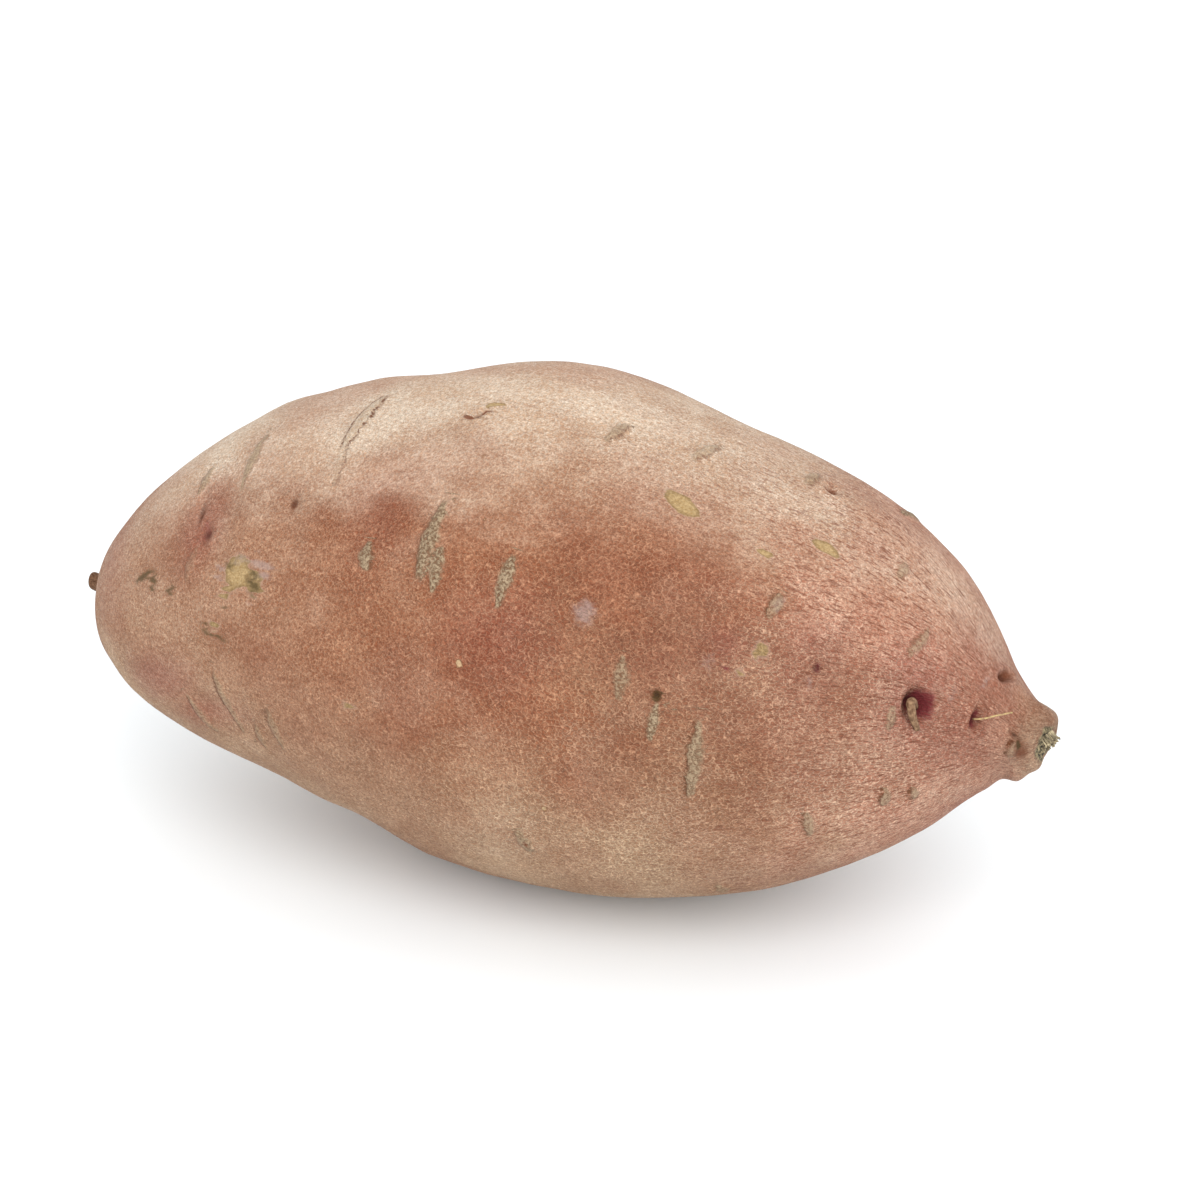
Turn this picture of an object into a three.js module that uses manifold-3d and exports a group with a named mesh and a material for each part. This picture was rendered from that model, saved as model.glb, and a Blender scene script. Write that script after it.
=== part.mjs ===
// A sweet potato, the one solid that it grew as: the swollen storage root, its broken stem at the crown,
// the stub of the root tip, the eyes sunk in its sides, a dried rootlet and the corky ridges across its skin.
// Millimetres, +Z up. The root lies along X with its crown at +X, and rests on a small flat spot.
import * as THREE from "three";
import Module from "manifold-3d";
import { mergeVertices } from "three/addons/utils/BufferGeometryUtils.js";

// Where the root's own axis, near its thickest section, lies in the part's frame. The lowest skin is a little
// below the surface that the root rests on, and is pressed flat there.
const axis = { along: 1.5, across: 0.4, height: 40.2 };

// Sections from the root tip to the crown: place along the axis, half width, half height,
// and the centre's shift across (+Y is the far side) and upwards.
const sections = [
  { along: -82.2, halfWidth: 0, halfHeight: 0, sway: -4, rise: -3.8 },
  { along: -82, halfWidth: 1.3, halfHeight: 1.3, sway: -4, rise: -3.8 },
  { along: -80.4, halfWidth: 1.5, halfHeight: 1.5, sway: -4, rise: -4.2 },
  { along: -79.3, halfWidth: 2.4, halfHeight: 2.4, sway: -4, rise: -4.6 },
  { along: -78.2, halfWidth: 6.2, halfHeight: 6.2, sway: -4, rise: -4.8 },
  { along: -74.8, halfWidth: 12.2, halfHeight: 11.9, sway: -3.8, rise: -4.4 },
  { along: -67.2, halfWidth: 19.8, halfHeight: 19.3, sway: -2.8, rise: -3 },
  { along: -55.4, halfWidth: 27.3, halfHeight: 26.3, sway: -1, rise: -1 },
  { along: -40, halfWidth: 33.4, halfHeight: 31.9, sway: 0, rise: 0.6 },
  { along: -22, halfWidth: 38.2, halfHeight: 37.5, sway: 0, rise: 0 },
  { along: -2, halfWidth: 41, halfHeight: 40.9, sway: -0.3, rise: 0 },
  { along: 17.5, halfWidth: 39, halfHeight: 38.5, sway: -1.8, rise: -1 },
  { along: 35, halfWidth: 34.5, halfHeight: 34, sway: -3, rise: -1.3 },
  { along: 50, halfWidth: 28.2, halfHeight: 27.8, sway: -3.4, rise: -0.8 },
  { along: 60.4, halfWidth: 21, halfHeight: 20.9, sway: -3.6, rise: -1 },
  { along: 67.4, halfWidth: 13.8, halfHeight: 13.6, sway: -4, rise: -1.8 },
  { along: 71.6, halfWidth: 9, halfHeight: 8.8, sway: -4.8, rise: -2.9 },
  { along: 74.8, halfWidth: 6.9, halfHeight: 6.4, sway: -5.4, rise: -4.2 },
  { along: 77.1, halfWidth: 5.3, halfHeight: 4.5, sway: -5.6, rise: -3.5 },
  { along: 78.5, halfWidth: 3.5, halfHeight: 2.9, sway: -5.4, rise: -2.8 },
  { along: 79, halfWidth: 1.8, halfHeight: 1.5, sway: -5.2, rise: -2.6 },
  { along: 78.4, halfWidth: 0, halfHeight: 0, sway: -5.2, rise: -2.6 },
];

// Angles are in degrees from the top, round towards the near side at -Y. Each mark runs round the root,
// leaning by its own angle towards the crown.
// Swells are broad: they lift the skin, or sink it where high is negative, over a reach along and round.
const swells = [
  { along: -50, angle: 46, reachAlong: 9, reachRound: 12, high: -1.1 },
  { along: -50, angle: -18, reachAlong: 9, reachRound: 9, high: 0.7 },
  { along: -24, angle: -22, reachAlong: 12, reachRound: 12, high: -0.9 },
  { along: -47, angle: 108, reachAlong: 16, reachRound: 6, high: -0.6 },
  { along: 62, angle: 66, reachAlong: 7, reachRound: 8, high: -1.4 },
  { along: 47, angle: 60, reachAlong: 6, reachRound: 9, high: -0.6 },
  { along: 24, angle: -32, reachAlong: 12, reachRound: 10, high: -0.8 },
  { along: 52, angle: 0, reachAlong: 12, reachRound: 7, high: 0.7 },
  { along: -30, angle: 235, reachAlong: 13, reachRound: 14, high: -1.6 },
  { along: 20, angle: 262, reachAlong: 22, reachRound: 10, high: 1.1 },
  { along: 46, angle: 228, reachAlong: 12, reachRound: 10, high: -1.2 },
  { along: -14, angle: 180, reachAlong: 24, reachRound: 24, high: 1.2 },
  { along: -25, angle: 146, reachAlong: 11, reachRound: 15, high: -1.4 },
  { along: 72.6, angle: 138, reachAlong: 3, reachRound: 5, high: -0.9 },
  { along: 77.2, angle: 128, reachAlong: 2.4, reachRound: 4, high: 0.8 },
];

// Eyes are pits where a rootlet grew; a crack is a narrow eye, long for its width.
const eyes = [
  { along: -51.9, angle: 50, wide: 2.6, long: 3.2, deep: 1, lean: 0 },
  { along: -54, angle: 42, wide: 1.8, long: 7.5, deep: 0.6, lean: -6 },
  { along: -35.7, angle: 43, wide: 2.8, long: 3.2, deep: 0.7, lean: 0 },
  { along: -10, angle: 17.3, wide: 1.5, long: 2.6, deep: 0.8, lean: 130 },
  { along: 27.4, angle: 72.5, wide: 1.3, long: 1.5, deep: 1, lean: 0 },
  { along: 42.9, angle: -0.8, wide: 1.8, long: 2.6, deep: 1, lean: 40 },
  { along: 48.7, angle: 60, wide: 2.4, long: 2.6, deep: 0.8, lean: 0 },
  { along: 62.2, angle: 66.8, wide: 3.4, long: 3.8, deep: 2.6, lean: 0 },
  { along: 69.3, angle: 66.4, wide: 1.5, long: 3.4, deep: 1.4, lean: 0 },
  { along: 71.6, angle: 12, wide: 1.6, long: 2.8, deep: 1.3, lean: -20 },
  { along: 74.6, angle: 60, wide: 1.3, long: 2, deep: 0.7, lean: 70 },
  { along: -33, angle: 165, wide: 2.4, long: 3, deep: 1.1, lean: 0 },
  { along: 40, angle: 196, wide: 2.4, long: 3, deep: 1.2, lean: 0 },
  { along: -44, angle: 236, wide: 3, long: 3.6, deep: 1.3, lean: 10 },
  { along: 6, angle: 226, wide: 2.6, long: 3.2, deep: 1.3, lean: 0 },
  { along: 53, angle: 250, wide: 2.8, long: 3.4, deep: 1.2, lean: -10 },
  { along: -12, angle: 284, wide: 2.4, long: 3, deep: 1.2, lean: 0 },
  { along: 30, angle: 300, wide: 2.2, long: 2.8, deep: 1, lean: 0 },
  { along: -58, angle: 300, wide: 2.2, long: 3, deep: 1.1, lean: 0 },
];

// Corky ridges on the near side, each where the root shows one.
const nearRidges = [
  { along: -29.5, angle: 16.6, long: 13.8, wide: 2.2, high: 0.45, lean: -7 },
  { along: -29.5, angle: 33, long: 7.4, wide: 1.5, high: 0.25, lean: 8 },
  { along: -46.5, angle: 26.7, long: 11.6, wide: 1.6, high: 0.3, lean: -8 },
  { along: -54.7, angle: 29.6, long: 5.6, wide: 1.5, high: 0.25, lean: -14 },
  { along: -52.6, angle: 60.6, long: 6, wide: 1.5, high: 0.35, lean: -14 },
  { along: -20.1, angle: 54.8, long: 4.6, wide: 2.3, high: 0.6, lean: 0 },
  { along: -44.9, angle: 104.7, long: 11.8, wide: 1.6, high: 0.3, lean: 16 },
  { along: -51.1, angle: 114, long: 8, wide: 1.8, high: 0.4, lean: 36 },
  { along: -39.2, angle: 113, long: 5.4, wide: 1.4, high: 0.25, lean: 18 },
  { along: -35.7, angle: 106.8, long: 8.4, wide: 1.5, high: 0.25, lean: 18 },
  { along: 11.8, angle: 13.7, long: 5.8, wide: 1.7, high: 0.5, lean: -15 },
  { along: 24.8, angle: 8.6, long: 6.2, wide: 1.8, high: 0.55, lean: -20 },
  { along: -10.1, angle: 49.8, long: 12.7, wide: 2.4, high: 0.6, lean: -9 },
  { along: -8, angle: 56, long: 7.6, wide: 2.2, high: 0.55, lean: 0 },
  { along: 3, angle: 56, long: 8.4, wide: 2.1, high: 0.55, lean: -2 },
  { along: 22.1, angle: 70, long: 6.8, wide: 2, high: 0.3, lean: 3 },
  { along: 27.3, angle: 78.7, long: 6, wide: 1.7, high: 0.35, lean: -6 },
  { along: 33.4, angle: 87.3, long: 12.6, wide: 2.1, high: 0.55, lean: -4 },
  { along: 6.9, angle: 116, long: 5.6, wide: 2, high: 0.35, lean: 18 },
  { along: 41.4, angle: 45.4, long: 4.4, wide: 1.6, high: 0.5, lean: -12 },
  { along: 60.8, angle: 41.1, long: 5.8, wide: 1.5, high: 0.5, lean: -16 },
  { along: 59.1, angle: 73.6, long: 3.8, wide: 1.5, high: 0.4, lean: -8 },
  { along: 56.2, angle: 16.6, long: 3.6, wide: 1.7, high: 0.5, lean: 0 },
  { along: 39.8, angle: -1.5, long: 5.4, wide: 1.8, high: 0.55, lean: -6 },
  { along: 58.6, angle: 106.8, long: 3.8, wide: 1.7, high: 0.6, lean: 2 },
  { along: 62.1, angle: 109.7, long: 2.8, wide: 1.6, high: 0.5, lean: 0 },
  { along: 48.7, angle: 111.2, long: 5.6, wide: 1.6, high: 0.5, lean: -1 },
  { along: 74.4, angle: 80.8, long: 3, wide: 1.4, high: 0.6, lean: 8 },
  { along: 34.2, angle: 138.6, long: 5.2, wide: 1.8, high: 0.4, lean: -2 },
];

// More corky ridges lie round the far side and underneath, scattered by a seeded draw
// with the lengths and leans of the near ones.
const farRidgeCount = 26;
const drawStep = 16807;
const drawSpan = 2147483647;
let seed = 11;
function draw(low, high) {
  seed = (seed * drawStep) % drawSpan;
  return low + ((high - low) * seed) / drawSpan;
}
const farRidges = Array.from({ length: farRidgeCount }, () => ({
  along: draw(-66, 62),
  angle: draw(150, 338),
  long: draw(4, 12),
  wide: draw(1.5, 2.3),
  high: draw(0.25, 0.55),
  lean: draw(-16, 16),
}));

// The body is faintly lobed, as roots are, and the stem at the crown more strongly.
const bodyLobes = { count: 3, turn: 35, deep: 0.007 };
const stemLobes = { count: 5, turn: 12, deep: 0.06, from: 67, to: 74 };

// The dried rootlet that curls out of the largest eye, as places on the skin and heights above it.
const rootletThickness = 1.5;
const rootletPath = [
  { along: 63, angle: 68.5, lift: -2.6 },
  { along: 61.6, angle: 65.6, lift: -0.4 },
  { along: 60.8, angle: 66, lift: 0.7 },
  { along: 61, angle: 69, lift: 0.9 },
  { along: 61.5, angle: 73, lift: 0.5 },
  { along: 62.3, angle: 77.5, lift: 0.2 },
];
const rootletSides = 6;
const rootletSteps = 12;

// How finely the skin is faceted. Edges near a mark are split in so many rounds, down to this length.
const ballDetail = 12;
const splitRounds = 2;
const edgeAtMarks = 1.6;
const marginRoundMarks = 0.6;

const outline = new THREE.CatmullRomCurve3(
  sections.map(({ along, halfWidth, halfHeight }) => new THREE.Vector3(along, halfWidth, halfHeight)),
  false,
  "catmullrom",
);
const centreLine = new THREE.CatmullRomCurve3(
  sections.map(({ sway, rise }) => new THREE.Vector3(0, sway, rise)),
  false,
  "catmullrom",
);

// Share is the part of the way from the root tip to the crown.
function skinPoint(share, angle) {
  const size = outline.getPoint(share);
  const centre = centreLine.getPoint(share);
  const stemness = THREE.MathUtils.smoothstep(size.x, stemLobes.from, stemLobes.to);
  const lobed = [bodyLobes, stemLobes].map(
    ({ count, turn, deep }) => deep * Math.cos(count * angle - THREE.MathUtils.degToRad(turn)),
  );
  const swelling = 1 + lobed[0] * (1 - stemness) + lobed[1] * stemness;
  return new THREE.Vector3(
    axis.along + size.x,
    axis.across + centre.y - swelling * size.y * Math.sin(angle),
    axis.height + centre.z + swelling * size.z * Math.cos(angle),
  );
}

function shareAt(along) {
  let low = 0;
  let high = 1;
  while (high - low > 1e-6) {
    const middle = (low + high) / 2;
    if (outline.getPoint(middle).x < along) {
      low = middle;
    } else {
      high = middle;
    }
  }
  return low;
}

// A place on the skin, with its directions towards the crown, round the root and outwards.
function frameAt(along, angle) {
  const step = 1e-3;
  const share = shareAt(along);
  const turn = THREE.MathUtils.degToRad(angle);
  const centre = skinPoint(share, turn);
  const towardsCrown = skinPoint(share + step, turn).sub(centre).normalize();
  const round = skinPoint(share, turn + step).sub(centre);
  round.addScaledVector(towardsCrown, -round.dot(towardsCrown)).normalize();
  return { centre, towardsCrown, round, outwards: new THREE.Vector3().crossVectors(round, towardsCrown) };
}

// The place of a point in a mark's own frame: lengthwise, sideways, and above its skin.
function placeIn({ centre, towardsCrown, round, outwards }, lean, point) {
  const turn = THREE.MathUtils.degToRad(lean);
  const from = point.clone().sub(centre);
  const along = from.dot(towardsCrown);
  const around = from.dot(round);
  return {
    lengthwise: around * Math.cos(turn) + along * Math.sin(turn),
    sideways: along * Math.cos(turn) - around * Math.sin(turn),
    above: from.dot(outwards),
  };
}

const bell = (x) => (Math.abs(x) < 1 ? 0.5 + 0.5 * Math.cos(Math.PI * x) : 0);

// Each kind of mark gives the height that it adds at a place in its frame, and its half sizes.
const swellMarks = swells.map(({ along, angle, reachAlong, reachRound, high }) => ({
  frame: frameAt(along, angle),
  lean: 0,
  halfLong: reachRound,
  halfWide: reachAlong,
  heightAt: ({ lengthwise, sideways }) => {
    return high * bell(Math.hypot(lengthwise / reachRound, sideways / reachAlong));
  },
}));

// An eye's pit fades out at its half size times the spread, and its lip stands around that.
const eyeSpread = 1.6;
const lip = { share: 0.22, at: 1.1, reach: 0.5 };
const eyeMarks = eyes.map(({ along, angle, wide, long, deep, lean }) => ({
  frame: frameAt(along, angle),
  lean,
  halfLong: (eyeSpread * long) / 2,
  halfWide: (eyeSpread * wide) / 2,
  heightAt: ({ lengthwise, sideways }) => {
    const away = (2 / eyeSpread) * Math.hypot(lengthwise / long, sideways / wide);
    return deep * (lip.share * bell((away - lip.at) / lip.reach) - bell(away));
  },
}));

// A ridge narrows and sinks towards its two ends.
const ridgeTaper = 0.6;
const ridgeMarks = [...nearRidges, ...farRidges].map(({ along, angle, long, wide, high, lean }) => ({
  frame: frameAt(along, angle),
  lean,
  halfLong: long / 2,
  halfWide: wide,
  heightAt: ({ lengthwise, sideways }) => {
    const toEnd = Math.min(1, ((2 * lengthwise) / long) ** 2);
    return high * bell(toEnd) * bell(sideways / (wide * (1 - ridgeTaper * toEnd)));
  },
}));

// A mark only touches the skin near its own side of the root.
const markReach = 8;
const fineMarks = [...eyeMarks, ...ridgeMarks];

function isAtMark(point) {
  return fineMarks.some((mark) => {
    const { lengthwise, sideways, above } = placeIn(mark.frame, mark.lean, point);
    return (
      Math.abs(lengthwise) < mark.halfLong + marginRoundMarks &&
      Math.abs(sideways) < mark.halfWide + marginRoundMarks &&
      Math.abs(above) < markReach
    );
  });
}

function heightOver(point) {
  let height = 0;
  for (const mark of [...swellMarks, ...fineMarks]) {
    const place = placeIn(mark.frame, mark.lean, point);
    if (Math.abs(place.above) < markReach) {
      height += mark.heightAt(place);
    }
  }
  return height;
}

// A ball's directions become places on the skin.
function onSkin(direction) {
  const share = Math.acos(THREE.MathUtils.clamp(-direction.x, -1, 1)) / Math.PI;
  return skinPoint(share, Math.atan2(-direction.y, direction.z));
}

// Splits every long edge near a mark, and each face on it, so that no gaps open.
function splitOnce(directions, faces) {
  const middles = new Map();
  const middleOf = (from, to) => {
    const key = `${Math.min(from, to)} ${Math.max(from, to)}`;
    if (!middles.has(key)) {
      const between = directions[from].clone().add(directions[to]).normalize();
      const ends = [onSkin(directions[from]), onSkin(directions[to])];
      const isLong = ends[0].distanceTo(ends[1]) > edgeAtMarks;
      const isSplit = isLong && [...ends, onSkin(between)].some((point) => isAtMark(point));
      middles.set(key, isSplit ? directions.push(between) - 1 : -1);
    }
    return middles.get(key);
  };
  const split = [];
  for (const [a, b, c] of faces) {
    const ab = middleOf(a, b);
    const bc = middleOf(b, c);
    const ca = middleOf(c, a);
    if (ab >= 0 && bc >= 0 && ca >= 0) {
      split.push([a, ab, ca], [b, bc, ab], [c, ca, bc], [ab, bc, ca]);
      continue;
    }
    const rim = [a, ab, b, bc, c, ca].filter((corner) => corner >= 0);
    const first = Math.max(0, rim.findIndex((corner) => corner === ab || corner === bc || corner === ca));
    for (let i = 1; i < rim.length - 1; i += 1) {
      split.push([rim[first], rim[(first + i) % rim.length], rim[(first + i + 1) % rim.length]]);
    }
  }
  return split;
}

function rootSkin() {
  const ball = new THREE.IcosahedronGeometry(1, ballDetail);
  ball.deleteAttribute("normal");
  ball.deleteAttribute("uv");
  const merged = mergeVertices(ball, 1e-5);
  const place = merged.getAttribute("position");
  const directions = Array.from({ length: place.count }, (_, i) => {
    return new THREE.Vector3().fromBufferAttribute(place, i);
  });
  let faces = Array.from({ length: merged.index.count / 3 }, (_, i) =>
    [0, 1, 2].map((corner) => merged.index.getX(3 * i + corner)),
  );
  for (let round = 0; round < splitRounds; round += 1) {
    faces = splitOnce(directions, faces);
  }
  const skin = new THREE.BufferGeometry();
  skin.setFromPoints(directions.map(onSkin));
  skin.setIndex(faces.flat());
  skin.computeVertexNormals();
  const corners = skin.getAttribute("position");
  const normals = skin.getAttribute("normal");
  for (let i = 0; i < corners.count; i += 1) {
    const corner = new THREE.Vector3().fromBufferAttribute(corners, i);
    const normal = new THREE.Vector3().fromBufferAttribute(normals, i);
    corner.addScaledVector(normal, heightOver(corner));
    corners.setXYZ(i, corner.x, corner.y, Math.max(corner.z, 0));
  }
  skin.deleteAttribute("normal");
  return skin;
}

function rootlet() {
  const path = new THREE.CatmullRomCurve3(
    rootletPath.map(({ along, angle, lift }) => {
      const { centre, outwards } = frameAt(along, angle);
      return centre.addScaledVector(outwards, lift);
    }),
  );
  const corners = [];
  for (let i = 0; i < rootletSides; i += 1) {
    const turn = (2 * Math.PI * i) / rootletSides;
    corners.push(new THREE.Vector2(Math.cos(turn), Math.sin(turn)).multiplyScalar(rootletThickness / 2));
  }
  const section = new THREE.Shape(corners);
  const sweep = { extrudePath: path, steps: rootletSteps, bevelEnabled: false };
  const tube = new THREE.ExtrudeGeometry(section, sweep);
  tube.deleteAttribute("normal");
  tube.deleteAttribute("uv");
  return mergeVertices(tube, 1e-4);
}

const wasm = await Module();
wasm.setup();

function solidOf(geometry) {
  return new wasm.Manifold(
    new wasm.Mesh({
      numProp: 3,
      vertProperties: new Float32Array(geometry.getAttribute("position").array),
      triVerts: new Uint32Array(geometry.index.array),
    }),
  );
}

const grown = solidOf(rootSkin()).add(solidOf(rootlet())).getMesh();
const form = new THREE.BufferGeometry();
form.setAttribute("position", new THREE.BufferAttribute(grown.vertProperties, 3));
form.setIndex(new THREE.BufferAttribute(grown.triVerts, 1));
form.computeVertexNormals();

const corkySkin = new THREE.MeshStandardMaterial({ color: "#b98768", roughness: 0.75, metalness: 0 });
const sweetPotato = new THREE.Mesh(form, corkySkin);
sweetPotato.name = "sweet_potato";

const part = new THREE.Group();
part.add(sweetPotato);

export default part;
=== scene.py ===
# A whole raw sweet potato lying on a plain pale floor, under soft studio light.
import math

import bmesh
import bpy
import numpy as np
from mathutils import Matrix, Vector, noise


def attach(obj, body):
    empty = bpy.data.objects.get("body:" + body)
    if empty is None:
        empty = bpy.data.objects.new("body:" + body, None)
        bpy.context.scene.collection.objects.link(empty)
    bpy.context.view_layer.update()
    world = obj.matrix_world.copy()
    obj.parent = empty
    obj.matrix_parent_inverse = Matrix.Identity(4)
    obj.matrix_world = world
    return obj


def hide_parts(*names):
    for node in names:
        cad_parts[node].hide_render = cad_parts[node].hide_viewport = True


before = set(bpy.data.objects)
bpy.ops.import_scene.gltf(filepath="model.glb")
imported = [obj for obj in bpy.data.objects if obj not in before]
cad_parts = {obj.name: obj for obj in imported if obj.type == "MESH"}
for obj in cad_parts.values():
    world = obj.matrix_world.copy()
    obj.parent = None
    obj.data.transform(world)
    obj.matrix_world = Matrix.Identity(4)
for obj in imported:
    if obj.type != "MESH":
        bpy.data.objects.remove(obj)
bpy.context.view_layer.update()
mm = 0.001


# The root's form, in millimetres and degrees. Angles go from the top round towards the near side, -Y.
# A mark is placed by its distance along the root and its angle, and runs round it, leaning to the crown.
form = {
    "axis": (1.5, 0.4, 40.2),
    # along, half width, half height, sway, rise
    "sections": [
        (-82.2, 0, 0, -4, -3.8), (-82, 1.3, 1.3, -4, -3.8), (-80.4, 1.5, 1.5, -4, -4.2),
        (-79.3, 2.4, 2.4, -4, -4.6), (-78.2, 6.2, 6.2, -4, -4.8), (-74.8, 12.2, 11.9, -3.8, -4.4),
        (-67.2, 19.8, 19.3, -2.8, -3), (-55.4, 27.3, 26.3, -1, -1), (-40, 33.4, 31.9, 0, 0.6),
        (-22, 38.2, 37.5, 0, 0), (-2, 41, 40.9, -0.3, 0), (17.5, 39, 38.5, -1.8, -1),
        (35, 34.5, 34, -3, -1.3), (50, 28.2, 27.8, -3.4, -0.8), (60.4, 21, 20.9, -3.6, -1),
        (67.4, 13.8, 13.6, -4, -1.8), (71.6, 9, 8.8, -4.8, -2.9), (74.8, 6.9, 6.4, -5.4, -4.2),
        (77.1, 5.3, 4.5, -5.6, -3.5), (78.5, 3.5, 2.9, -5.4, -2.8), (79, 1.8, 1.5, -5.2, -2.6),
        (78.4, 0, 0, -5.2, -2.6),
    ],
    # count round the root, turn, depth as a share of the radius
    "bodyLobes": (3, 35, 0.007),
    "stemLobes": (5, 12, 0.06),
    "stemFrom": 67,
    "stemTo": 74,
    # along, angle, reach along, reach round, height
    "swells": [
        (-50, 46, 9, 12, -1.1), (-50, -18, 9, 9, 0.7), (-24, -22, 12, 12, -0.9), (-47, 108, 16, 6, -0.6),
        (62, 66, 7, 8, -1.4), (47, 60, 6, 9, -0.6), (24, -32, 12, 10, -0.8), (52, 0, 12, 7, 0.7),
        (-30, 235, 13, 14, -1.6), (20, 262, 22, 10, 1.1), (46, 228, 12, 10, -1.2),
        (-14, 180, 24, 24, 1.2), (-25, 146, 11, 15, -1.4), (72.6, 138, 3, 5, -0.9),
        (77.2, 128, 2.4, 4, 0.8),
    ],
    # along, angle, width, length, depth, lean
    "eyes": [
        (-51.9, 50, 2.6, 3.2, 1, 0), (-54, 42, 1.8, 7.5, 0.6, -6), (-35.7, 43, 2.8, 3.2, 0.7, 0),
        (-10, 17.3, 1.5, 2.6, 0.8, 130), (27.4, 72.5, 1.3, 1.5, 1, 0), (42.9, -0.8, 1.8, 2.6, 1, 40),
        (48.7, 60, 2.4, 2.6, 0.8, 0), (62.2, 66.8, 3.4, 3.8, 2.6, 0), (69.3, 66.4, 1.5, 3.4, 1.4, 0),
        (71.6, 12, 1.6, 2.8, 1.3, -20), (74.6, 60, 1.3, 2, 0.7, 70), (-33, 165, 2.4, 3, 1.1, 0),
        (40, 196, 2.4, 3, 1.2, 0), (-44, 236, 3, 3.6, 1.3, 10), (6, 226, 2.6, 3.2, 1.3, 0),
        (53, 250, 2.8, 3.4, 1.2, -10), (-12, 284, 2.4, 3, 1.2, 0), (30, 300, 2.2, 2.8, 1, 0),
        (-58, 300, 2.2, 3, 1.1, 0),
    ],
    # how many of the eyes, from the first, face the camera
    "nearEyeCount": 11,
    "eyeSpread": 1.6,
    "lipShare": 0.22,
    "lipAt": 1.1,
    "lipReach": 0.5,
    # along, angle, length, width, height, lean
    "nearRidges": [
        (-29.5, 16.6, 13.8, 2.2, 0.45, -7), (-29.5, 33, 7.4, 1.5, 0.25, 8),
        (-46.5, 26.7, 11.6, 1.6, 0.3, -8), (-54.7, 29.6, 5.6, 1.5, 0.25, -14),
        (-52.6, 60.6, 6, 1.5, 0.35, -14), (-20.1, 54.8, 4.6, 2.3, 0.6, 0),
        (-44.9, 104.7, 11.8, 1.6, 0.3, 16), (-51.1, 114, 8, 1.8, 0.4, 36), (-39.2, 113, 5.4, 1.4, 0.25, 18),
        (-35.7, 106.8, 8.4, 1.5, 0.25, 18), (11.8, 13.7, 5.8, 1.7, 0.5, -15),
        (24.8, 8.6, 6.2, 1.8, 0.55, -20), (-10.1, 49.8, 12.7, 2.4, 0.6, -9), (-8, 56, 7.6, 2.2, 0.55, 0),
        (3, 56, 8.4, 2.1, 0.55, -2), (22.1, 70, 6.8, 2, 0.3, 3), (27.3, 78.7, 6, 1.7, 0.35, -6),
        (33.4, 87.3, 12.6, 2.1, 0.55, -4), (6.9, 116, 5.6, 2, 0.35, 18), (41.4, 45.4, 4.4, 1.6, 0.5, -12),
        (60.8, 41.1, 5.8, 1.5, 0.5, -16), (59.1, 73.6, 3.8, 1.5, 0.4, -8), (56.2, 16.6, 3.6, 1.7, 0.5, 0),
        (39.8, -1.5, 5.4, 1.8, 0.55, -6), (58.6, 106.8, 3.8, 1.7, 0.6, 2), (62.1, 109.7, 2.8, 1.6, 0.5, 0),
        (48.7, 111.2, 5.6, 1.6, 0.5, -1), (74.4, 80.8, 3, 1.4, 0.6, 8), (34.2, 138.6, 5.2, 1.8, 0.4, -2),
    ],
    "ridgeTaper": 0.6,
    # how far out a ridge's look goes, as a share of its half length and of its width
    "ridgeLookReach": 1.25,
    "farRidgeCount": 26,
    "farSeed": 11,
    # the least and most of each value of a far ridge, in the order above
    "farRidgeSpans": ((-66, 62), (150, 338), (4, 12), (1.5, 2.3), (0.25, 0.55), (-16, 16)),
    # how far above and below its own plane a mark has an effect
    "markReach": 8,
}


def bell(x):
    x = np.clip(np.abs(x), 0, 1)
    return 0.5 + 0.5 * np.cos(np.pi * x)


def smoothStep(low, high, x):
    x = np.clip((x - low) / (high - low), 0, 1)
    return x * x * (3 - 2 * x)


def alongCurve(points, share):
    # a uniform Catmull-Rom curve through all points, its ends mirrored
    last = len(points) - 1
    padded = np.vstack([2 * points[0] - points[1], points, 2 * points[-1] - points[-2]])
    place = np.clip(share, 0, 1) * last
    i = np.minimum(place.astype(int), last - 1)
    w = (place - i)[:, None]
    start, end = padded[i + 1], padded[i + 2]
    leaving, arriving = (end - padded[i]) / 2, (padded[i + 3] - start) / 2
    cubic = 2 * start - 2 * end + leaving + arriving
    square = 3 * end - 3 * start - 2 * leaving - arriving
    return ((cubic * w + square) * w + leaving) * w + start


sectionPoints = np.array(form["sections"], float)


def skinPoint(share, angle):
    # share is the part of the way from the root tip to the crown, and angle is in radians
    size = alongCurve(sectionPoints, share)
    stemness = smoothStep(form["stemFrom"], form["stemTo"], size[:, 0])
    swelling = 1
    for (count, turn, deep), weight in ((form["bodyLobes"], 1 - stemness), (form["stemLobes"], stemness)):
        swelling = swelling + weight * deep * np.cos(count * angle - math.radians(turn))
    axisX, axisY, axisZ = form["axis"]
    return np.stack([
        axisX + size[:, 0],
        axisY + size[:, 3] - swelling * size[:, 1] * np.sin(angle),
        axisZ + size[:, 4] + swelling * size[:, 2] * np.cos(angle),
    ], axis=1)


def unit(vectors):
    return vectors / np.maximum(np.linalg.norm(vectors, axis=-1, keepdims=True), 1e-9)


# the distance along the root at each share of the way, up to the crown, where the sections turn back inwards
lastShare = 0.985
shareTable = np.linspace(0, lastShare, 4000)
alongTable = alongCurve(sectionPoints, shareTable)[:, 0]


def frameAt(along, angle):
    # a place on the skin, with its directions towards the crown, round the root and outwards
    step = 1e-3
    share = np.interp([along], alongTable, shareTable)
    turn = math.radians(angle)
    here = skinPoint(share, np.array([turn]))[0]
    crownwards = unit(skinPoint(share + step, np.array([turn]))[0] - here)
    around = skinPoint(share, np.array([turn + step]))[0] - here
    around = unit(around - crownwards * (around @ crownwards))
    return here, crownwards, around, np.cross(around, crownwards)


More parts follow.
